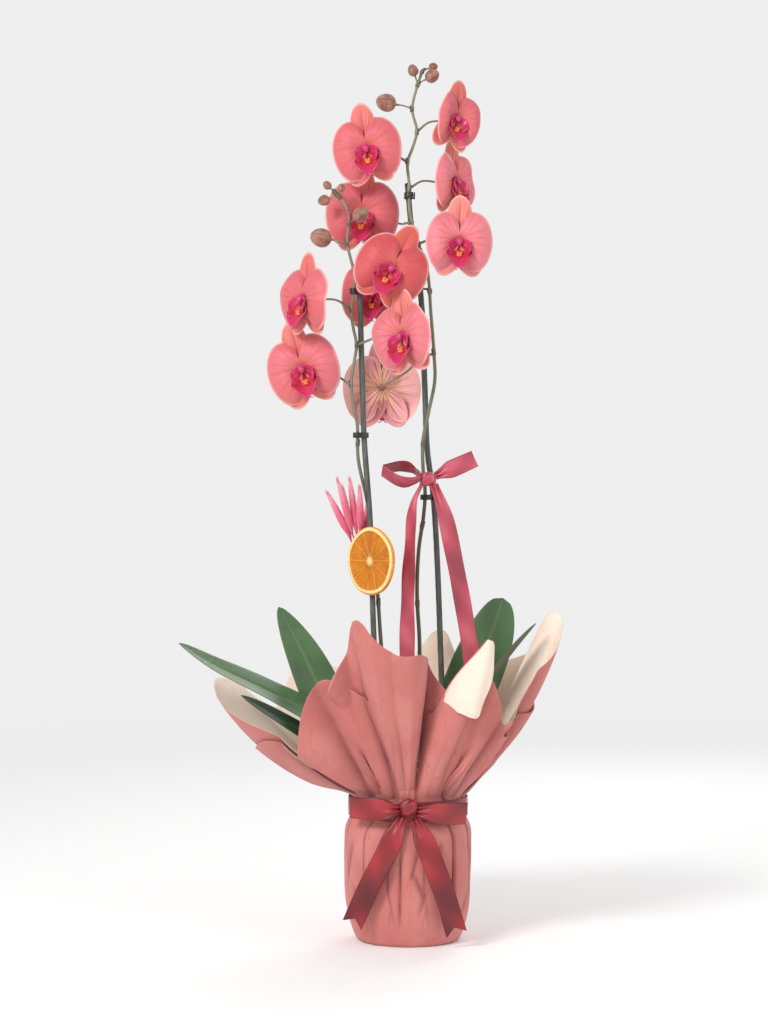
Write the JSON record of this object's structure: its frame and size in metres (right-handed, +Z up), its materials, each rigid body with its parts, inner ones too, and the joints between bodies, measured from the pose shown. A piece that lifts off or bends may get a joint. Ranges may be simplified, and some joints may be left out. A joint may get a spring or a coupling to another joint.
{
  "type": "potted orchid",
  "caption": "A moth orchid with tall flower spikes on stakes, in a paper-wrapped pot with satin bows, a dried orange slice and dried grass",
  "frame": {"origin": "centre of the wrapped pot's flat base, on the surface it stands on", "axes": "+Z up along the stakes, -Y the front where the bows are, +X the right seen from the front"},
  "size_m": [0.3642, 0.2639, 0.8338],
  "materials": {
    "paper": "matte florist's paper, dusty rose outside and pale cream inside",
    "pot": "thin brown moulded plastic",
    "bark": "rough pine bark chips",
    "leaf": "leathery green with a lighter midrib",
    "root": "silvery velvet with a green tip",
    "stake": "dark grey-green plastic, slightly ribbed",
    "stem": "smooth brown-green stem with paler nodes",
    "petal": "soft satin petal, coral with fine veins and paler margins",
    "bud": "smooth olive-brown flushed with red",
    "clip": "dark glossy plastic",
    "orange": "dried translucent pulp with a pale rind",
    "grass": "dyed dried grass, fluffy",
    "neck_ribbon": "dark red satin",
    "rose_ribbon": "rose-red satin"
  },
  "bodies": {
    "root": {"wrap_sheet_outer": "paper", "wrap_sheet_inner": "paper", "grow_pot": "pot", "bark_medium": "bark", "plant_crown": "leaf", "aerial_root": "root", "stake_left": "stake", "stake_right": "stake", "spike_left": "stem", "spike_right": "stem", "leaf_left_long": "leaf", "leaf_left_upright": "leaf", "leaf_left_low": "leaf", "leaf_right_broad": "leaf", "leaf_right_edge": "leaf", "leaf_right_low": "leaf", "flower_01": "petal", "flower_02": "petal", "flower_03": "petal", "flower_04": "petal", "flower_05": "petal", "flower_06": "petal", "flower_07": "petal", "flower_08": "petal", "flower_09": "petal", "flower_10": "petal", "flower_11": "petal", "bud_right_1": "bud", "bud_right_2": "bud", "bud_right_3": "bud", "bud_right_4": "bud", "bud_left_1": "bud", "bud_left_2": "bud", "bud_left_3": "bud", "bud_left_4": "bud", "bud_left_5": "bud", "clip_left_low": "clip", "clip_left_top": "clip", "clip_right_low": "clip", "clip_right_top": "clip", "orange_slice": "orange", "slice_tie": "clip", "grass_plume_1": "grass", "grass_plume_2": "grass", "grass_plume_3": "grass", "grass_plume_4": "grass", "grass_plume_5": "grass", "grass_plume_6": "grass", "neck_ribbon_band": "neck_ribbon", "neck_bow_knot": "neck_ribbon", "neck_bow_loop_left": "neck_ribbon", "neck_bow_loop_right": "neck_ribbon", "neck_bow_tail_left": "neck_ribbon", "neck_bow_tail_right": "neck_ribbon", "stake_bow_band": "rose_ribbon", "stake_bow_knot": "rose_ribbon", "stake_bow_loop_left": "rose_ribbon", "stake_bow_loop_right": "rose_ribbon", "stake_bow_tail_left": "rose_ribbon", "stake_bow_tail_right": "rose_ribbon"}
  },
  "joints": []
}
